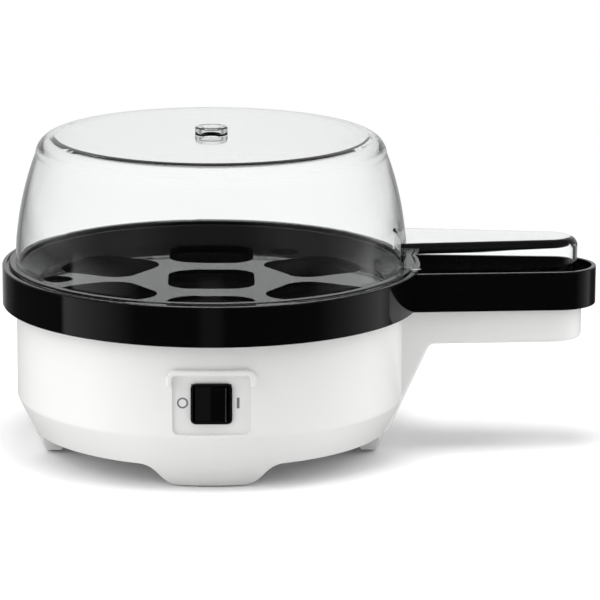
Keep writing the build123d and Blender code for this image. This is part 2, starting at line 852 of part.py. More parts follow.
def make_rocker_button():
    low = switch_middle - rocker_half_height
    high = switch_middle + rocker_half_height
    back = rocker_back - rocker_pivot
    front = -rocker_pivot - rocker_face_rise
    reach = rocker_radius + cut_past
    rise = reach * math.tan(math.radians(rocker_tilt))
    outline = Polyline(
        (-reach, back), (-reach, front - rise), (0, front), (reach, front - rise), (reach, back), close=True
    )
    wedge = extrude(Pos(0, 0, low) * make_face(outline), high - low)
    button = upright(0, -rocker_pivot, rocker_radius, low, high) & wedge
    room_half = rocker_radius - rocker_rim
    room = rocker_half_height - rocker_shell
    button -= switch_box(0, room_half, front + rocker_shell, back + cut_past, room)
    button += switch_box(0, socket_half, front + rocker_shell / 2, back, socket_half)
    button -= lying_y(0, switch_middle, socket_bore, -rocker_pivot - socket_start, back + cut_past)
    pins = upright(0, -rocker_pivot, pivot_pin_radius, low - pivot_pin_length, high + pivot_pin_length)
    pins -= upright(0, -rocker_pivot, 2 * pivot_pin_radius, low + rocker_shell, high - rocker_shell)
    return turned(button + pins, -rocker_pivot, -rocker_tilt)


def make_rocker_spring():
    start = -rocker_pivot - socket_start
    end = -rocker_pivot + plunger_shoulder
    coil = lying_y(0, switch_middle, spring_outer, start, end)
    coil -= lying_y(0, switch_middle, spring_inner, start - cut_past, end + cut_past)
    return turned(coil, -rocker_pivot, -rocker_tilt)


def make_rocker_plunger():
    nose_start = -lever_pivot - lever_thickness / 2 - plunger_gap - plunger_nose
    rod = lying_y(0, switch_middle, plunger_radius, -rocker_pivot + plunger_shoulder, nose_start)
    cone = Cone(plunger_radius, plunger_nose_radius, plunger_nose)
    nose = Pos(0, nose_start + plunger_nose / 2, switch_middle) * Rot(-90, 0, 0) * cone
    return turned(rod + nose, -rocker_pivot, -rocker_tilt)


def make_contact_lever():
    back = -lever_pivot + lever_thickness / 2
    strip = switch_box(0, lever_half, back - lever_thickness, back, lever_height / 2)
    contact = lying_y(
        contact_inset - lever_half, switch_middle, contact_radius, -lever_pivot, back + contact_proud
    )
    half = lever_height / 2
    bead = upright(0, -lever_pivot, lever_bead, switch_middle - half, switch_middle + half)
    return turned(strip + contact + bead, -lever_pivot, lever_tilt)


def make_switch_terminals():
    contact_x, support_x = switch_blade_places
    back = -lever_pivot + lever_thickness / 2
    end = -switch_rear + switch_blade_reach
    reach = math.sin(math.radians(lever_tilt)) * lever_half
    thin = blade_half_thickness
    support = switch_box(support_x, thin, back + plunger_gap, end, blade_half_width)
    fixed = switch_box(contact_x, thin, back + reach + contact_gap, end, blade_half_width)
    return [support, fixed]


def make_terminal_block():
    half_x, half_y = block_half
    top = cover_top + block_height
    y = block_place
    body = block(-half_x, half_x, y - half_y, y + half_y, cover_top, top)
    for number in (-1, 0, 1):
        x = pole_pitch * number
        body -= upright(x, y, pole_screw_radius + pole_play, cover_top + pole_seat, top + cut_past)
        body -= lying_y(x, cover_top + pole_height, pole_mouth_radius, y + half_y / 2, y + half_y + cut_past)
    for side in (-1, 1):
        body -= drilled(side * pole_pitch / 2, y, block_screw_radius, cover_top, top)
    return body


def make_terminal_screws():
    low = cover_top + pole_seat
    top = low + pole_screw_height
    screws = []
    for number in (-1, 0, 1):
        x = pole_pitch * number
        body = upright(x, block_place, pole_screw_radius, low, top)
        long = pole_screw_radius + cut_past
        y_low = block_place - screw_slot_half
        y_high = block_place + screw_slot_half
        slot_low = top - screw_slot_depth
        body -= block(x - long, x + long, y_low, y_high, slot_low, top + cut_past)
        screws.append(body)
    return screws


def make_block_screws():
    top = cover_top + block_height
    screws = []
    for side in (-1, 1):
        x = side * pole_pitch / 2
        head = upright(x, block_place, block_screw_head, top, top + block_screw_rise)
        shank = upright(x, block_place, block_screw_radius - thread_play, skirt_height + thread_play, top)
        screws.append(head + shank)
    return screws


def make_cord_gland():
    wall_out = housing_radius
    wall_in = housing_radius - housing_wall - gland_slack
    low = wall_in - gland_tail
    high = wall_out + gland_lip
    body = lying_y(0, gland_height, gland_neck, low, wall_out)
    body += lying_y(0, gland_height, gland_flange, wall_out, high)
    body += lying_y(0, gland_height, gland_inner_flange, wall_in - gland_lip, wall_in)
    body -= lying_y(0, gland_height, gland_bore, low - cut_past, high)
    mouth = Cone(gland_bore, gland_bore + gland_flare, gland_flare_length)
    return body - Pos(0, high - gland_flare_length / 2, gland_height) * Rot(-90, 0, 0) * mouth


def buzzer_box(x_low, x_high, z_low, z_high):
    """Box as wide as the buzzer's yoke, placed from the coil's axis."""
    half = yoke_width / 2
    return block(buzzer_x + x_low, buzzer_x + x_high, buzzer_y - half, buzzer_y + half, z_low, z_high)


def make_buzzer_yoke():
    post = coil_radius + post_clearance
    foot_top = cover_top + yoke_sheet
    yoke = buzzer_box(-coil_radius, post + yoke_sheet, cover_top, foot_top)
    yoke += buzzer_box(post, post + yoke_sheet, cover_top, core_top + armature_gap - armature_play)
    return yoke + upright(buzzer_x, buzzer_y, core_radius, cover_top, core_top)


def make_buzzer_coil():
    low = cover_top + yoke_sheet
    high = low + coil_height
    bobbin = upright(buzzer_x, buzzer_y, coil_radius - winding_depth, low, high)
    bobbin += upright(buzzer_x, buzzer_y, coil_radius, low, low + bobbin_flange)
    bobbin += upright(buzzer_x, buzzer_y, coil_radius, high - bobbin_flange, high)
    return bobbin - drilled(buzzer_x, buzzer_y, core_radius + thread_play, low, high)


def make_buzzer_armature():
    under = core_top + armature_gap
    top = under + armature_sheet
    behind = coil_radius + post_clearance + yoke_sheet + armature_play
    plate = buzzer_box(armature_inset - coil_radius, behind + armature_sheet, under, top)
    return plate + buzzer_box(behind, behind + armature_sheet, under - armature_tail, top)


def make_thermal_fuse():
    return Pos(fuse_place) * Rot(0, 90, 0) * Cylinder(fuse_radius, fuse_length)


def soft_lead(points, radius=lead_radius):
    """Insulated wire through its points, with bends as large as the runs beside them allow."""
    spots = [Vector(point) for point in points]
    radii = []
    for before, here, after in zip(spots, spots[1:], spots[2:]):
        turn = math.radians((here - before).get_angle(after - here))
        shorter = min((here - before).length, (after - here).length)
        radii.append(lead_bend * shorter / math.tan(turn / 2))
    path = FilletPolyline(*spots, radius=radii)
    return sweep_round(path.wire(), radius, spots[0], spots[1] - spots[0])


def pole_mouth(number):
    """Where a lead leaves the terminal block on the side away from the gland."""
    return Vector(pole_pitch * number, block_place - block_half[1], cover_top + pole_height)


def make_leads():
    """Internal wiring from the terminal block through switch, thermostat, element, fuse and buzzer."""
    live, earth, neutral = [pole_mouth(number) for number in (-1, 0, 1)]
    blade_y = -switch_rear + switch_blade_reach
    blade_low = dish_under - thermostat_body - thermostat_blade
    out_blade = (-thermostat_blade_place, 0, blade_low)
    in_blade = (thermostat_blade_place, 0, blade_low)
    contact = Vector(switch_blade_places[0], blade_y, switch_middle)
    support = Vector(switch_blade_places[1], blade_y, switch_middle)
    pin_low = element_leg_end - pin_length
    pins = [Vector(x, y, pin_low) for x, y in leg_places()]
    fuse_in = Vector(fuse_place) - Vector(fuse_length / 2, 0, 0)
    fuse_out = Vector(fuse_place) + Vector(fuse_length / 2, 0, 0)
    earth_low = shield_floor - earth_sheet - earth_head
    coil_side = Vector(buzzer_x - coil_radius, buzzer_y, cover_top + yoke_sheet + coil_height / 2)
    down = Vector(0, 0, -lead_start)
    inward = Vector(0, lead_start, 0)
    aside = Vector(fuse_lead_start, 0, 0)
    beside = Vector(0, -lead_radius - thin_lead_radius, 0)
    thin_end = Vector(winding_depth, 0, 0)
    gap = Vector(0, buzzer_lead_gap, 0)
    in_blade = Vector(*in_blade)
    out_blade = Vector(*out_blade)
    earth_end = Vector(*earth_place, earth_low)
    to_blade = [
        coil_side + thin_end - gap,
        *buzzer_to_blade,
        in_blade + beside + down * 0.8,
        in_blade + beside,
    ]
    to_block = [
        coil_side + thin_end + gap,
        *buzzer_to_block,
        neutral + Vector(lead_radius + thin_lead_radius + pole_play, 0, 0),
    ]
    return {
        "live_lead": soft_lead([live, live - inward, *live_way, contact + inward, contact]),
        "switched_lead": soft_lead([support, support + inward, *switched_way, out_blade + down, out_blade]),
        "element_lead": soft_lead([in_blade, in_blade + down, *element_way, pins[0] + down, pins[0]]),
        "neutral_lead": soft_lead([neutral, neutral - inward, *neutral_way, fuse_in - aside, fuse_in]),
        "fuse_lead": soft_lead([fuse_out, fuse_out + aside, *fuse_way, pins[1] + down, pins[1]]),
        "earth_lead": soft_lead([earth, earth - inward, *earth_way, earth_end + down, earth_end]),
        "buzzer_leads": [soft_lead(to_blade, thin_lead_radius), soft_lead(to_block, thin_lead_radius)],
    }


def make_egg_rack():
    run = slope_top_radius - tray_radius
    rise = lid_seat - tray_height
    slope_length = math.hypot(run, rise)
    across = slope_skin * slope_length / rise  # the sloping wall's thickness, taken level
    under = tray_height - tray_thickness
    seat_under = rim_height
    lower_start = tray_radius + across - (tray_height - under) * run / rise
    lower_end = tray_radius + across + (seat_under - tray_height) * run / rise
    inner_band = band_radius - band_wall
    outline = FilletPolyline(
        [
            (0, tray_height),
            (tray_radius, tray_height),
            (slope_top_radius, lid_seat),
            (inner_band - band_draft, lid_seat),
            (inner_band, band_top),
            (band_radius, band_top),
            (band_radius, band_low),
            (inner_band, band_low),
            (inner_band, seat_under),
            (lower_end, seat_under),
            (lower_start, under),
            (0, under),
        ],
        radius=[0, 0, 0, 0, 0, band_edge, band_edge, 0, 0, 0, 0, 0],
        close=True,
    )
    bowl = revolve(Plane.XZ * make_face(outline), Axis.Z)
    outer_plan = handle_plan(trough_root_half, grip_taper, trough_end)
    inner_plan = handle_plan(trough_root_half, grip_taper, trough_end, inset=trough_wall)
    trough = rounded_rim(handle_bar(outer_plan, trough_low, trough_rim), trough_rim, band_edge)
    trough = rounded_rim(trough, trough_low, band_edge)
    trough -= handle_bar(inner_plan, trough_floor, trough_rim + cut_past)
    trough -= handle_bar(inner_plan, trough_low - cut_past, trough_floor - tray_thickness)
    trough -= drilled(0, 0, band_radius - band_wall / 2, trough_low, trough_rim)
    rack = bowl + trough
    doorway = upright(0, 0, band_radius + cut_past, trough_low - cut_past, grip_top + grip_lift)
    doorway -= drilled(0, 0, inner_band - cut_past, trough_low - cut_past, grip_top + grip_lift)
    rack -= handle_bar(inner_plan, trough_low - cut_past, trough_floor - tray_thickness) & doorway
    square = RectangleRounded(egg_hole, egg_hole, egg_hole_corner)
    egg = extrude(Pos(0, 0, under - cut_past) * square, tray_thickness + 2 * cut_past)
    rack -= egg
    for turn in range(6):
        rack -= Rot(0, 0, 30 + 60 * turn) * Pos(egg_hole_circle, 0, 0) * egg
    for turn in range(3):
        steam = drilled(steam_hole_circle, 0, steam_hole_radius, under, tray_height)
        rack -= Rot(0, 0, 60 + 120 * turn) * steam
    return rack


def beyond(x, low, high):
    """Everything on the handles' side of a place along X, between two heights."""
    return block(x, 2 * trough_end, -trough_end, trough_end, low - cut_past, high + cut_past)


def split_rack():
    """The rack in pieces that meet face to face: the plate's sectors, the rim and the trough."""
    rack = make_egg_rack()
    bottom = trough_low - cut_past
    height = band_top + cut_past - bottom
    core = extrude(Pos(0, 0, bottom) * RegularPolygon(tray_radius - plate_joint, plate_sides), height)
    arm = beyond(band_radius + trough_joint, trough_low, band_top)
    pieces = {"egg_rack_rim": rack - core - arm, "egg_rack_trough": rack & arm}
    turn = 360 / plate_sectors
    half = tray_radius * math.tan(math.radians(turn / 2))
    outline = Polyline((0, 0), (tray_radius, -half), (tray_radius, half), close=True)
    sector = extrude(Pos(0, 0, bottom) * make_face(outline), height)
    for number in range(plate_sectors):
        pieces[f"egg_rack_plate_{number + 1}"] = rack & core & (Rot(0, 0, turn * number) * sector)
    return pieces


def split_housing():
    """The housing in two pieces that meet face to face: its body, and the outer part of its handle."""
    housing = make_housing()
    arm = beyond(grip_cover_root, 0, rim_height)
    return {"housing": housing - arm, "housing_handle": housing & arm}


def pulled_in(point, centre, inward):
    """A point of the half section, moved towards an arc's centre."""
    way = Vector(*point) - centre
    return centre + way * (1 - inward / way.length)


def on_arc(arc, inward, height):
    """Where an arc, drawn in by a thickness, crosses a height on its outer side."""
    rise = height - arc.arc_center.Y
    across = math.sqrt((arc.radius - inward) ** 2 - rise**2)
    return Vector(arc.arc_center.X + across, height)


def lid_dome(inward, low):
    """Everything under the lid's dome above a height, the dome drawn in by a thickness."""
    shoulder = ThreePointArc((lid_flat_radius, lid_top), lid_shoulder, lid_wall_top)
    wall = ThreePointArc(lid_wall_top, lid_wall_middle, (lid_foot_radius, lid_seat + lid_flange_thickness))
    level = lid_top - inward
    knee = pulled_in(lid_wall_top, wall.arc_center, inward)
    wall_middle = pulled_in(lid_wall_middle, wall.arc_center, inward)
    foot = on_arc(wall, inward, low)
    side = ThreePointArc(knee, wall_middle, foot)
    if inward:
        rise = side % 0
        start = knee + rise * ((level - knee.Y) / rise.Y)
        crown = FilletPolyline((0, level), start, knee, radius=lid_inner_corner)
    else:
        crown = Line((0, level), (lid_flat_radius, level)) + shoulder
    outline = [*crown.edges(), side, Line(foot, (0, low)), Line((0, low), (0, level))]
    return revolve(Plane.XZ * make_face(outline), Axis.Z)


def make_lid():
    flange_top = lid_seat + lid_flange_thickness
    outside = lid_dome(0, flange_top)
    inside = lid_dome(lid_wall, lid_seat - cut_past)
    flange = upright(0, 0, lid_flange_radius, lid_seat, flange_top)
    outside += fillet(flange.edges().group_by(Axis.Z)[-1], lid_flange_edge)
    plan = handle_plan(lid_grip_root_half, lid_grip_taper, lid_grip_end)
    hollow_plan = handle_plan(lid_grip_root_half, lid_grip_taper, lid_grip_end, inset=lid_grip_wall)
    bar = handle_bar(plan, lid_grip_low, lid_grip_top)
    bar = rounded_rim(bar, lid_grip_top, lid_grip_edge)
    hollow_top = lid_grip_top - lid_grip_wall
    hollow = handle_bar(hollow_plan, lid_grip_low - cut_past, hollow_top)
    over_band = band_radius + lid_grip_gap
    bar -= upright(0, 0, over_band, lid_grip_low - cut_past, band_top + lid_grip_lift)
    lid = outside + bar - (hollow - outside) - inside
    vent_low = lid_top - lid_wall - vent_below
    vent_high = lid_top + vent_proud
    vent = upright(0, 0, vent_outer_radius, vent_low, vent_high)
    lid += fillet(vent.edges().group_by(Axis.Z)[-1], vent_edge)
    return lid - drilled(0, 0, vent_hole_radius, vent_low, vent_high)


def save(node, shape):
    """Write one node, shifted so that the whole object's box is centred on the origin."""
    solids = shape if isinstance(shape, list) else [shape]
    placed = [Pos(frame_shift, 0, 0) * one for one in solids]
    export_step(placed[0] if len(placed) == 1 else Compound(children=placed), f"parts/{node}.step")


os.makedirs("parts", exist_ok=True)
makers = {
    "foot_pads": make_foot_pads,
    "handle_cover": make_handle_cover,
    "handle_cover_screws": make_handle_cover_screws,
    "base_cover": make_base_cover,
    "cover_screws": make_cover_screws,
    "heating_dish": make_heating_dish,
    "dish_seal": make_dish_seal,
    "heating_element": make_heating_element,
    "element_pins": make_element_pins,
    "dish_studs": make_dish_studs,
    "stud_nuts": make_stud_nuts,
    "heat_shield": make_heat_shield,
    "earth_tab": make_earth_tab,
    "earth_screw": make_earth_screw,
    "thermostat": make_thermostat,
    "thermostat_bracket": make_thermostat_bracket,
    "thermal_fuse": make_thermal_fuse,
    "switch_housing": make_switch_housing,
    "rocker_button": make_rocker_button,
    "rocker_spring": make_rocker_spring,
    "rocker_plunger": make_rocker_plunger,
    "contact_lever": make_contact_lever,
    "switch_terminals": make_switch_terminals,
    "terminal_block": make_terminal_block,
    "terminal_screws": make_terminal_screws,
    "block_screws": make_block_screws,
    "cord_gland": make_cord_gland,
    "buzzer_yoke": make_buzzer_yoke,
    "buzzer_coil": make_buzzer_coil,
    "buzzer_armature": make_buzzer_armature,
    "lid": make_lid,
}
for node, maker in makers.items():
    save(node, maker())
for group in (split_housing(), split_rack(), make_leads()):
    for node, shape in group.items():
        save(node, shape)
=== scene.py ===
import bpy
import bmesh
import json
import math
from mathutils import Matrix, Vector


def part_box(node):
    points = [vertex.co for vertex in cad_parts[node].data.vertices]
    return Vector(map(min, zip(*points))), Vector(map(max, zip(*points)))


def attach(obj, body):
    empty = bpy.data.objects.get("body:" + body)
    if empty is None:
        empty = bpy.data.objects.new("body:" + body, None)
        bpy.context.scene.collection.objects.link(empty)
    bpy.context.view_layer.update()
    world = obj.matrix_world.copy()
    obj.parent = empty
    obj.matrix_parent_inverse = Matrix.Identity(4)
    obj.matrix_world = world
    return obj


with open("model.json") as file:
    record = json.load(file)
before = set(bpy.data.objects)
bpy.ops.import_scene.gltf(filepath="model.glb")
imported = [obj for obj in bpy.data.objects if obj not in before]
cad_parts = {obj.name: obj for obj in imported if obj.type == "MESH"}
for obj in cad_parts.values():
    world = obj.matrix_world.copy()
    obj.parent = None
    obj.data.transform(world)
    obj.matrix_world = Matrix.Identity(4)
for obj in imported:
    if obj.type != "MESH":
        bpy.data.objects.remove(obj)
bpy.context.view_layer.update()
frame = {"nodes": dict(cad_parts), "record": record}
nodes = frame["nodes"]

# Electric egg cooker. The round body's axis stands at x = axisX, the handles point to +X, the switch to -Y.
dishLow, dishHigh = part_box("heating_dish")
axisX = (dishLow.x + dishHigh.x) / 2
mm = 0.001
smoothDegrees = 32.0  # faces that turn by more than this keep a sharp edge between them

# a Mix node's sockets by number, because their names repeat
mixShare, mixNumberA, mixNumberB, mixColourA, mixColourB = 0, 2, 3, 6, 7
mixNumberOut, mixColourOut = 0, 2


def linearColour(hexText):
    # sRGB hex to the linear values that Blender works in
    parts = [int(hexText[i:i + 2], 16) / 255 for i in (1, 3, 5)]
    return [c / 12.92 if c <= 0.04045 else ((c + 0.055) / 1.055) ** 2.4 for c in parts] + [1.0]


pureWhite = linearColour("#FFFFFF")


def addNode(tree, kind, settings=None, links=None):
    # settings: attribute or input name -> value; links: input name -> output socket
    node = tree.nodes.new(kind)
    for key, value in (settings or {}).items():
        if isinstance(key, int) or key in node.inputs:
            node.inputs[key].default_value = value
        else:
            setattr(node, key, value)
    for key, socket in (links or {}).items():
        tree.links.new(socket, node.inputs[key])
    return node


def perMetre(sizeMm):
    # texture scale for a feature of this size
    return 1000.0 / sizeMm


def addPiece(name, bm, material, body):
    mesh = bpy.data.meshes.new(name)
    bm.to_mesh(mesh)
    bm.free()
    mesh.polygons.foreach_set("use_smooth", [True] * len(mesh.polygons))
    mesh.set_sharp_from_angle(angle=math.radians(smoothDegrees))
    mesh.materials.append(material)
    piece = bpy.data.objects.new(name, mesh)
    bpy.context.scene.collection.objects.link(piece)
    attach(piece, body)


def startMaterial(name):
    material = bpy.data.materials.new(name)
    material.use_nodes = True
    tree = material.node_tree
    tree.nodes.clear()
    output = addNode(tree, "ShaderNodeOutputMaterial")
    place = addNode(tree, "ShaderNodeTexCoord")
    return material, tree, output, place.outputs["Object"]


cloudRange = (0.3, 0.7)  # where most values of a soft noise lie
streakRange = (0.25, 0.75)  # and those of one with more detail
waveRadians = 20  # what a wave texture at scale 1 runs through in a metre, so a wire gets one radian


def mouldedPlastic(name, finish):
    # injection moulded: a near even colour, slow gloss changes and the tool's faint skin,
    # drawn coarser than it is so that it shows
    material, tree, output, place = startMaterial(name)
    clouds = addNode(tree, "ShaderNodeTexNoise", {"Scale": perMetre(finish["cloudMm"]), "Detail": 3.0},
                     {"Vector": place})
    skin = addNode(tree, "ShaderNodeTexNoise", {"Scale": perMetre(finish["skinMm"]), "Detail": 2.0},
                   {"Vector": place})
    colour = addNode(tree, "ShaderNodeMix",
                     {"data_type": "RGBA", mixColourA: linearColour(finish["colour"]),
                      mixColourB: linearColour(finish["shade"])},
                     {mixShare: clouds.outputs["Fac"]})
    gloss = addNode(tree, "ShaderNodeMapRange",
                    {"From Min": cloudRange[0], "From Max": cloudRange[1],
                     "To Min": finish["rough"][0], "To Max": finish["rough"][1]},
                    {"Value": clouds.outputs["Fac"]})
    bump = addNode(tree, "ShaderNodeBump",
                   {"Strength": finish["skinStrength"], "Distance": finish["skinDepthMm"] * mm},
                   {"Height": skin.outputs["Fac"]})
    surface = addNode(tree, "ShaderNodeBsdfPrincipled",
                      {"IOR": finish["ior"], "Specular IOR Level": finish["shine"]},
                      {"Base Color": colour.outputs[mixColourOut], "Roughness": gloss.outputs["Result"],
                       "Normal": bump.outputs["Normal"]})
    tree.links.new(surface.outputs["BSDF"], output.inputs["Surface"])
    return material


def sheetMetal(name, finish):
    # rolled or drawn metal: streaks along one direction, and a gloss that follows them
    material, tree, output, place = startMaterial(name)
    stretch = addNode(tree, "ShaderNodeMapping", {"Scale": finish["stretch"]}, {"Vector": place})
    streaks = addNode(tree, "ShaderNodeTexNoise", {"Scale": perMetre(finish["grainMm"]), "Detail": 4.0},
                      {"Vector": stretch.outputs["Vector"]})
    colour = addNode(tree, "ShaderNodeMix",
                     {"data_type": "RGBA", mixColourA: linearColour(finish["colour"]),
                      mixColourB: linearColour(finish["shade"])},
                     {mixShare: streaks.outputs["Fac"]})
    gloss = addNode(tree, "ShaderNodeMapRange",
                    {"From Min": streakRange[0], "From Max": streakRange[1],
                     "To Min": finish["rough"][0], "To Max": finish["rough"][1]},
                    {"Value": streaks.outputs["Fac"]})
    bump = addNode(tree, "ShaderNodeBump",
                   {"Strength": metalSkin["strength"], "Distance": metalSkin["depthMm"] * mm},
                   {"Height": streaks.outputs["Fac"]})
    surface = addNode(tree, "ShaderNodeBsdfPrincipled", {"Metallic": 1.0},
                      {"Base Color": colour.outputs[mixColourOut], "Roughness": gloss.outputs["Result"],
                       "Normal": bump.outputs["Normal"]})
    tree.links.new(surface.outputs["BSDF"], output.inputs["Surface"])
    return material


def fleckedNearBlack(name, finish):
    # nearly black, as dark as the inside of the cooker looks under the rack, with small pale flecks and a
    # fine grainy texture
    material, tree, output, place = startMaterial(name)
    flecks = addNode(tree, "ShaderNodeTexVoronoi", {"Scale": perMetre(finish["fleckMm"])}, {"Vector": place})
    mask = addNode(tree, "ShaderNodeMapRange",
                   {"From Min": finish["fleckEdge"][0], "From Max": finish["fleckEdge"][1],
                    "To Min": 1.0, "To Max": 0.0},
                   {"Value": flecks.outputs["Distance"]})
    colour = addNode(tree, "ShaderNodeMix",
                     {"data_type": "RGBA", mixColourA: linearColour(finish["colour"]),
                      mixColourB: linearColour(finish["fleck"])},
                     {mixShare: mask.outputs["Result"]})
    spray = addNode(tree, "ShaderNodeTexNoise", {"Scale": perMetre(finish["sprayMm"]), "Detail": 3.0},
                    {"Vector": place})
    bump = addNode(tree, "ShaderNodeBump",
                   {"Strength": finish["sprayStrength"], "Distance": finish["sprayDepthMm"] * mm},
                   {"Height": spray.outputs["Fac"]})
    surface = addNode(tree, "ShaderNodeBsdfPrincipled",
                      {"Roughness": finish["rough"], "Specular IOR Level": finish["shine"]},
                      {"Base Color": colour.outputs[mixColourOut], "Normal": bump.outputs["Normal"]})
    tree.links.new(surface.outputs["BSDF"], output.inputs["Surface"])
    return material


def enamelledWinding(name, finish):
    # wire wound on a bobbin: even bands one above the other, each about six wires high so that it shows
    material, tree, output, place = startMaterial(name)
    turns = addNode(tree, "ShaderNodeTexWave",
                    {"wave_type": "BANDS", "bands_direction": "Z",
                     "Scale": perMetre(finish["wireMm"]) / waveRadians, "Distortion": finish["wobble"]},
                    {"Vector": place})
    # the colour runs dark brown in the groove between turns: painted shade; the orange is the wire's own
    # colour
    colour = addNode(tree, "ShaderNodeMix",
                     {"data_type": "RGBA", mixColourA: linearColour(finish["shade"]),
                      mixColourB: linearColour(finish["colour"])},
                     {mixShare: turns.outputs["Fac"]})
    bump = addNode(tree, "ShaderNodeBump",
                   {"Strength": finish["turnStrength"], "Distance": finish["turnDepthMm"] * mm},
                   {"Height": turns.outputs["Fac"]})
    surface = addNode(tree, "ShaderNodeBsdfPrincipled",
                      {"Metallic": finish["metallic"], "Roughness": finish["rough"]},
                      {"Base Color": colour.outputs[mixColourOut], "Normal": bump.outputs["Normal"]})
    tree.links.new(surface.outputs["BSDF"], output.inputs["Surface"])
    return material


def clearPlastic(name, finish):
    # clear moulding: almost no tint, slow flow waves in the surface that bend what is behind
    material, tree, output, place = startMaterial(name)
    waves = addNode(tree, "ShaderNodeTexNoise", {"Scale": perMetre(finish["waveMm"]), "Detail": 1.0},
                    {"Vector": place})
    bump = addNode(tree, "ShaderNodeBump",
                   {"Strength": finish["waveStrength"], "Distance": finish["waveDepthMm"] * mm},
                   {"Height": waves.outputs["Fac"]})
    glass = addNode(tree, "ShaderNodeBsdfPrincipled",
                    {"Base Color": linearColour(finish["colour"]), "Roughness": finish["rough"],
                     "IOR": finish["ior"], "Specular IOR Level": finish["shine"], "Transmission Weight": 1.0},
                    {"Normal": bump.outputs["Normal"]})
    letThrough = addNode(tree, "ShaderNodeBsdfTransparent", {"Color": linearColour(finish["shadow"])})
    path = addNode(tree, "ShaderNodeLightPath")
    mix = addNode(tree, "ShaderNodeMixShader", {},
                  {0: path.outputs["Is Shadow Ray"], 1: glass.outputs["BSDF"], 2: letThrough.outputs["BSDF"]})
    tree.links.new(mix.outputs["Shader"], output.inputs["Surface"])
    return material


# glossy polypropylene: a clean, faintly warm white with soft wide highlights
whiteShell = {"colour": "#F2F2F1", "shade": "#EFEFEE", "cloudMm": 60.0, "skinMm": 1.1, "skinStrength": 0.08,
              "skinDepthMm": 0.02, "rough": (0.20, 0.27), "ior": 1.5, "shine": 0.5}
# polypropylene from a polished tool: deep black, with sharp pale bands where it mirrors the studio
blackShell = {"colour": "#040404", "shade": "#060606", "cloudMm": 45.0, "skinMm": 1.4, "skinStrength": 0.05,
              "skinDepthMm": 0.015, "rough": (0.05, 0.09), "ior": 1.49, "shine": 0.5}
# styrene acrylonitrile: clear as water, bright along its edges, with a thin grey shadow
clearLid = {"colour": "#FDFEFE", "rough": 0.01, "ior": 1.45, "shine": 0.25, "waveMm": 35.0,
            "waveStrength": 0.15, "waveDepthMm": 0.1, "shadow": "#E6E8E8"}
# moulded nylon: a duller black than the rack's, with blurred lights
switchNylon = {"colour": "#0C0C0D", "shade": "#101011", "cloudMm": 20.0, "skinMm": 0.5, "skinStrength": 0.2,
               "skinDepthMm": 0.02, "rough": (0.30, 0.40), "ior": 1.53, "shine": 0.4}
# soft rubber: pale grey and matt
padRubber = {"colour": "#B9BBBB", "shade": "#AEB0B0", "cloudMm": 8.0, "skinMm": 0.4, "skinStrength": 0.4,
             "skinDepthMm": 0.03, "rough": (0.60, 0.75), "ior": 1.5, "shine": 0.3}
# silicone rubber: milky, with a waxy sheen
sealSilicone = {"colour": "#D9D8D2", "shade": "#D0CFC8", "cloudMm": 12.0, "skinMm": 0.6, "skinStrength": 0.3,
                "skinDepthMm": 0.03, "rough": (0.45, 0.60), "ior": 1.42, "shine": 0.4}
# unglazed steatite: chalky, slightly yellow white
whiteCeramic = {"colour": "#E4E1D8", "shade": "#DBD7CC", "cloudMm": 5.0, "skinMm": 0.3, "skinStrength": 0.4,
                "skinDepthMm": 0.02, "rough": (0.50, 0.65), "ior": 1.55, "shine": 0.4}
# pad printed ink: flat mid grey, duller than the white under it
markInk = {"colour": "#7C7C80", "shade": "#77777B", "cloudMm": 4.0, "skinMm": 0.3, "skinStrength": 0.2,
           "skinDepthMm": 0.01, "rough": (0.45, 0.55), "ior": 1.5, "shine": 0.3}
# silicone insulation: satin, each lead in its own colour, the earth lead mottled green and yellow
leadCover = {"cloudMm": 30.0, "skinMm": 0.8, "skinStrength": 0.3, "skinDepthMm": 0.02, "rough": (0.40, 0.50),
             "ior": 1.42, "shine": 0.4}
leadColours = {"brown": ("#6B3F26", "#5E3620"), "blue": ("#2A5D9C", "#24528C"),
               "green": ("#6E9A2C", "#D8C93A"), "white": ("#E6E4DD", "#DAD8D0")}
# heating dish: soft black, as dark as it looks under the rack, with small pale flecks and almost no highlight
nearBlackDish = {"colour": "#0B0B0C", "fleck": "#2E2E31", "fleckMm": 2.2, "fleckEdge": (0.10, 0.18),
               "sprayMm": 0.5, "sprayStrength": 0.3, "sprayDepthMm": 0.03, "rough": 0.42, "shine": 0.1}
# enamelled copper: orange brown bands, dark brown in the grooves between them as painted shade, with a metal
# glint on each
copperWire = {"colour": "#B86A32", "shade": "#5E2C12", "wireMm": 0.4, "wobble": 0.4,
              "turnStrength": 0.6, "turnDepthMm": 0.1, "metallic": 0.8, "rough": 0.3}
metalSkin = {"strength": 0.15, "depthMm": 0.02}  # how deep the streaks of all the metals are
# zinc plated steel: cool light grey, broken into short dull streaks
screwSteel = {"colour": "#C4C6CA", "shade": "#A9ABB0", "grainMm": 0.6, "stretch": (1, 1, 4),
              "rough": (0.28, 0.42)}
# drawn aluminium tube: soft silver with a blurred line of light
elementTube = {"colour": "#C9CBCE", "shade": "#A2A5A9", "grainMm": 1.5, "stretch": (1, 1, 1),
               "rough": (0.35, 0.5)}
# pressed aluminium sheet: bright silver with long rolling lines
shieldSheet = {"colour": "#D3D5D8", "shade": "#BFC2C6", "grainMm": 1.2, "stretch": (0.1, 3, 1),
               "rough": (0.25, 0.38)}
# stamped brass: warm yellow with fine lines and brighter lights
brassStrip = {"colour": "#D2B26A", "shade": "#B8964E", "grainMm": 0.8, "stretch": (1, 1, 5),
              "rough": (0.22, 0.36)}
# blanked steel sheet: plain grey, duller than the plated screws
yokeSheet = {"colour": "#B0B2B5", "shade": "#95979B", "grainMm": 0.8, "stretch": (4, 1, 1),
             "rough": (0.35, 0.5)}

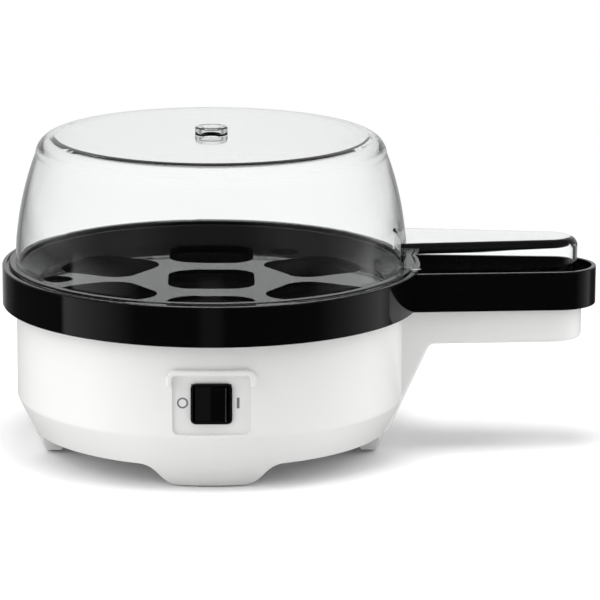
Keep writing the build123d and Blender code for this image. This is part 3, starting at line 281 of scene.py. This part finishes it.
finishes = {
    "white_shell": mouldedPlastic("Polypropylene white glossy moulded", whiteShell),
    "black_plastic": mouldedPlastic("Polypropylene black glossy moulded", blackShell),
    "clear_plastic": clearPlastic("Styrene acrylonitrile clear moulded", clearLid),
    "pad_rubber": mouldedPlastic("Rubber grey foot pad", padRubber),
    "screw_steel": sheetMetal("Steel zinc plated", screwSteel),
    "dish_coating": fleckedNearBlack("Heating dish near black", nearBlackDish),
    "silicone": mouldedPlastic("Silicone rubber seal", sealSilicone),
    "element_sheath": sheetMetal("Aluminium drawn tube", elementTube),
    "shield_sheet": sheetMetal("Aluminium pressed sheet", shieldSheet),
    "brass": sheetMetal("Brass stamped strip", brassStrip),
    "black_nylon": mouldedPlastic("Nylon black moulded", switchNylon),
    "ceramic_white": mouldedPlastic("Steatite ceramic white", whiteCeramic),
    "copper_winding": enamelledWinding("Copper wire enamelled", copperWire),
    "yoke_steel": sheetMetal("Steel sheet blanked", yokeSheet),
}
for leadName, (colour, shade) in leadColours.items():
    finishes["lead_" + leadName] = mouldedPlastic("Silicone insulation " + leadName,
                                                  {**leadCover, "colour": colour, "shade": shade})
inkMaterial = mouldedPlastic("Printed ink grey", markInk)

for entry in frame["record"]["subparts"]:
    node = nodes[entry["node"]]
    node.data.materials.clear()
    node.data.materials.append(finishes[entry["material_slot"]])
print("materials: every frame node has its finish")


# metres; the offsets are from the round body's axis, the height from the table
marks = {"middleHeight": 0.045, "offX": -0.0139, "onX": 0.0129, "offRadius": 0.0027, "offSegments": 64,
         "stroke": 0.0008, "onHeight": 0.0053, "onWidth": 0.0013, "panelY": -0.095, "thick": 0.00006}


def addOffMark():
    # a flat ring, still lying on the ground
    bm = bmesh.new()
    for radius in (marks["offRadius"], marks["offRadius"] - marks["stroke"]):
        bmesh.ops.create_circle(bm, segments=marks["offSegments"], radius=radius)
    bmesh.ops.bridge_loops(bm, edges=bm.edges[:])
    return bm


def addOnMark():
    # a flat bar, still lying on the ground
    bm = bmesh.new()
    bmesh.ops.create_grid(bm, x_segments=1, y_segments=1, size=0.5)
    bmesh.ops.scale(bm, vec=(marks["onWidth"], marks["onHeight"], 1), verts=bm.verts)
    return bm


for name, bm, offset in (("off_mark", addOffMark(), marks["offX"]), ("on_mark", addOnMark(), marks["onX"])):
    # thickened, then stood up against the switch panel
    raised = bmesh.ops.extrude_face_region(bm, geom=bm.faces[:])
    lifted = [v for v in raised["geom"] if isinstance(v, bmesh.types.BMVert)]
    bmesh.ops.translate(bm, vec=(0, 0, marks["thick"]), verts=lifted)
    bmesh.ops.rotate(bm, cent=(0, 0, 0), matrix=Matrix.Rotation(math.radians(90), 3, "X"), verts=bm.verts)
    bmesh.ops.translate(bm, vec=(axisX + offset, marks["panelY"], marks["middleHeight"]), verts=bm.verts)
    bmesh.ops.recalc_face_normals(bm, faces=bm.faces[:])
    addPiece(name, bm, inkMaterial, "base")
print("marks: off and on marks beside the switch")


# metres; the paper's own look fades into pure white between whiteFrom and whiteBy from the middle
studio = {"floorSize": 9.0, "floorColour": "#F4F4F4", "floorBounce": "#D9D9D9", "floorRough": 0.8,
          "floorShine": 0.1, "floorLift": 0.03, "whiteFrom": 0.28, "whiteBy": 0.80, "throughLid": 0.11,
          "worldColour": "#FFFFFF", "worldStrength": 0.30}
# what the object's gloss shows at each turn from the camera's side, in degrees, and how bright:
# low down, as upright walls do, and higher up
lowBoards = [(-180, 0.74), (-166, 0.40), (-152, 0.12), (-135, 0.03), (-90, 0.03), (-87, 0.66), (-67, 0.40),
             (-42, 0.03), (-8, 0.02), (-4, 0.12), (4, 0.12), (8, 0.02), (60, 0.03), (80, 0.25), (106, 0.64),
             (118, 0.10), (140, 0.03), (152, 0.12), (166, 0.40), (180, 0.74)]
highBoards = [(-180, 0.78), (-150, 0.66), (-110, 0.42), (-70, 0.14), (-45, 0.16), (-20, 0.02), (20, 0.02),
              (45, 0.16), (70, 0.14), (110, 0.42), (150, 0.66), (180, 0.78)]
# where the low and the high boards end and the plain ceiling starts, as the upward part of a unit direction
boardZones = {"lowTo": -0.10, "highFrom": -0.02, "highTo": 0.35, "ceilingFrom": 0.70, "ceiling": 0.18}
# turn is degrees round from the camera's side, rise is degrees above the table
lamps = {
    "leftSoftbox": {"turn": -68.0, "rise": 35.0, "away": 1.35, "size": (1.25, 2.0), "watts": 17.6},
    "rightSoftbox": {"turn": 85.0, "rise": 35.0, "away": 1.35, "size": (1.1, 2.0), "watts": 15.0},
    "topSoftbox": {"turn": 0.0, "rise": 84.0, "away": 1.8, "size": (0.7, 0.7), "watts": 20.0},
}
lampAim = {"aside": 0.03, "height": 0.08}  # a little to the handles' side of the axis
cameraFit = {"distance": 1.9125, "aimHeight": 0.096, "downDegrees": 12.152, "focalPixels": 3799.0,
             "axisPixel": (211.374, 258.005), "framePixels": 600.0, "sensor": 36.0, "clip": (0.05, 50.0)}


def mirroredPart(tree, path):
    # 1 for what is seen in a gloss, also through the lid; 0 for what is seen directly or lights the object
    gloss = addNode(tree, "ShaderNodeMath", {"operation": "GREATER_THAN", 1: 0.5},
                    {0: path.outputs["Glossy Depth"]})
    mirrored = addNode(tree, "ShaderNodeMath", {"operation": "SUBTRACT", "use_clamp": True},
                       {0: gloss.outputs["Value"], 1: path.outputs["Is Diffuse Ray"]})
    return mirrored.outputs["Value"]


def seenPart(tree, path):
    # 1 for what the camera sees straight or through the lid
    seen = addNode(tree, "ShaderNodeMath", {"operation": "MAXIMUM"},
                   {0: path.outputs["Is Camera Ray"], 1: path.outputs["Is Transmission Ray"]})
    return seen.outputs["Value"]


def addFloor():
    bm = bmesh.new()
    bmesh.ops.create_grid(bm, x_segments=2, y_segments=2, size=studio["floorSize"] / 2)
    mesh = bpy.data.meshes.new("floor")
    bm.to_mesh(mesh)
    bm.free()
    floor = bpy.data.objects.new("floor", mesh)
    bpy.context.scene.collection.objects.link(floor)
    material, tree, output, place = startMaterial("Paper studio white")  # matt, keeps the soft shadow
    path = addNode(tree, "ShaderNodeLightPath")
    paper = addNode(tree, "ShaderNodeMix",
                    {"data_type": "RGBA", mixColourA: linearColour(studio["floorColour"]),
                     mixColourB: linearColour(studio["floorBounce"])},
                    {mixShare: path.outputs["Is Diffuse Ray"]})
    surface = addNode(tree, "ShaderNodeBsdfPrincipled",
                      {"Roughness": studio["floorRough"], "Specular IOR Level": studio["floorShine"]},
                      {"Base Color": paper.outputs[mixColourOut]})
    # a little brighter through the lid, for what its four faces take away
    brighter = addNode(tree, "ShaderNodeMath",
                       {"operation": "MULTIPLY_ADD", 1: studio["throughLid"], 2: 1.0},
                       {0: path.outputs["Is Transmission Ray"]})
    glow = addNode(tree, "ShaderNodeEmission", {"Color": pureWhite}, {"Strength": brighter.outputs["Value"]})
    away = addNode(tree, "ShaderNodeVectorMath", {"operation": "LENGTH"}, {0: place})
    fade = addNode(tree, "ShaderNodeMapRange",
                   {"interpolation_type": "SMOOTHSTEP", "From Min": studio["whiteFrom"],
                    "From Max": studio["whiteBy"], "To Min": studio["floorLift"], "To Max": 1.0},
                   {"Value": away.outputs["Value"]})
    lift = addNode(tree, "ShaderNodeMath", {"operation": "MULTIPLY"},
                   {0: seenPart(tree, path), 1: fade.outputs["Result"]})
    both = addNode(tree, "ShaderNodeMixShader", {},
                   {0: lift.outputs["Value"], 1: surface.outputs["BSDF"], 2: glow.outputs["Emission"]})
    # in the gloss of the object the dark studio and its boards are seen in place of the paper
    through = addNode(tree, "ShaderNodeBsdfTransparent", {"Color": pureWhite})
    mixed = addNode(tree, "ShaderNodeMixShader", {},
                    {0: mirroredPart(tree, path), 1: both.outputs["Shader"], 2: through.outputs["BSDF"]})
    tree.links.new(mixed.outputs["Shader"], output.inputs["Surface"])
    mesh.materials.append(material)


def addBoards(tree, boards, share):
    # brightness by the turn round the object, straight from one listed turn to the next
    node = addNode(tree, "ShaderNodeFloatCurve", {}, {"Value": share})
    curve = node.mapping.curves[0]
    for degrees, strength in boards[1:-1]:
        curve.points.new((degrees + 180) / 360, strength)
    curve.points[0].location = (0.0, boards[0][1])
    curve.points[-1].location = (1.0, boards[-1][1])
    for point in curve.points:
        point.handle_type = "VECTOR"
    node.mapping.update()
    return node.outputs["Value"]


def addWorld():
    # white to the eye and through the lid; in gloss a dark room with pale boards left, right and behind
    world = bpy.data.worlds.new("studio")
    bpy.context.scene.world = world
    world.use_nodes = True
    tree = world.node_tree
    tree.nodes.clear()
    output = addNode(tree, "ShaderNodeOutputWorld")
    white = addNode(tree, "ShaderNodeBackground", {"Color": pureWhite, "Strength": 1.0})
    soft = addNode(tree, "ShaderNodeBackground",
                   {"Color": linearColour(studio["worldColour"]), "Strength": studio["worldStrength"]})
    way = addNode(tree, "ShaderNodeTexCoord")
    split = addNode(tree, "ShaderNodeSeparateXYZ", {}, {"Vector": way.outputs["Generated"]})
    toFront = addNode(tree, "ShaderNodeMath", {"operation": "MULTIPLY", 1: -1.0}, {0: split.outputs["Y"]})
    turn = addNode(tree, "ShaderNodeMath", {"operation": "ARCTAN2"},
                   {0: split.outputs["X"], 1: toFront.outputs["Value"]})
    share = addNode(tree, "ShaderNodeMapRange", {"From Min": -math.pi, "From Max": math.pi},
                    {"Value": turn.outputs["Value"]})
    low = addBoards(tree, lowBoards, share.outputs["Result"])
    high = addBoards(tree, highBoards, share.outputs["Result"])
    rise = addNode(tree, "ShaderNodeMapRange",
                   {"From Min": boardZones["lowTo"], "From Max": boardZones["highFrom"]},
                   {"Value": split.outputs["Z"]})
    board = addNode(tree, "ShaderNodeMix", {},
                    {mixShare: rise.outputs["Result"], mixNumberA: low, mixNumberB: high})
    above = addNode(tree, "ShaderNodeMapRange",
                    {"From Min": boardZones["highTo"], "From Max": boardZones["ceilingFrom"]},
                    {"Value": split.outputs["Z"]})
    level = addNode(tree, "ShaderNodeMix", {mixNumberB: boardZones["ceiling"]},
                    {mixShare: above.outputs["Result"], mixNumberA: board.outputs[mixNumberOut]})
    mirrored = addNode(tree, "ShaderNodeBackground", {"Color": pureWhite},
                       {"Strength": level.outputs[mixNumberOut]})
    path = addNode(tree, "ShaderNodeLightPath")
    direct = addNode(tree, "ShaderNodeMixShader", {},
                     {0: seenPart(tree, path), 1: soft.outputs["Background"], 2: white.outputs["Background"]})
    mix = addNode(tree, "ShaderNodeMixShader", {},
                  {0: mirroredPart(tree, path), 1: direct.outputs["Shader"],
                   2: mirrored.outputs["Background"]})
    tree.links.new(mix.outputs["Shader"], output.inputs["Surface"])


def addLamps():
    aim = Vector((axisX + lampAim["aside"], 0, lampAim["height"]))
    for name, lamp in lamps.items():
        data = bpy.data.lights.new(name, "AREA")
        data.shape = "RECTANGLE"
        data.size, data.size_y = lamp["size"]
        data.energy = lamp["watts"]
        softbox = bpy.data.objects.new(name, data)
        turn, rise = math.radians(lamp["turn"]), math.radians(lamp["rise"])
        way = Vector((math.sin(turn) * math.cos(rise), -math.cos(turn) * math.cos(rise), math.sin(rise)))
        softbox.location = aim + way * lamp["away"]
        softbox.rotation_euler = (-way).to_track_quat("-Z", "Y").to_euler()
        # the boards of the world stand for the lamps wherever they would be seen
        softbox.visible_camera = softbox.visible_glossy = softbox.visible_transmission = False
        bpy.context.scene.collection.objects.link(softbox)


def addCamera():
    # set where the photograph was taken: level, looking down on the body's axis,
    # then turned to the frame's middle
    down = math.radians(cameraFit["downDegrees"])
    forward = Vector((0, math.cos(down), -math.sin(down)))
    up = Vector((0, math.sin(down), math.cos(down)))
    right = Vector((1, 0, 0))
    data = bpy.data.cameras.new("photoCamera")
    data.sensor_width = cameraFit["sensor"]
    data.lens = cameraFit["focalPixels"] / cameraFit["framePixels"] * cameraFit["sensor"]
    data.clip_start, data.clip_end = cameraFit["clip"]
    camera = bpy.data.objects.new("photoCamera", data)
    middle = cameraFit["framePixels"] / 2
    aside = (middle - cameraFit["axisPixel"][0]) / cameraFit["focalPixels"]
    below = (middle - cameraFit["axisPixel"][1]) / cameraFit["focalPixels"]
    aim = (forward + right * aside - up * below).normalized()
    level = Matrix((right, up, -forward)).transposed()
    turn = forward.rotation_difference(aim).to_matrix() @ level
    target = Vector((axisX, 0, cameraFit["aimHeight"]))
    camera.matrix_world = Matrix.Translation(target - forward * cameraFit["distance"]) @ turn.to_4x4()
    bpy.context.scene.collection.objects.link(camera)
    bpy.context.scene.camera = camera


addFloor()
addWorld()
addLamps()
addCamera()
bpy.context.scene.view_settings.view_transform = "Standard"
print("stage: floor, light and camera are set")
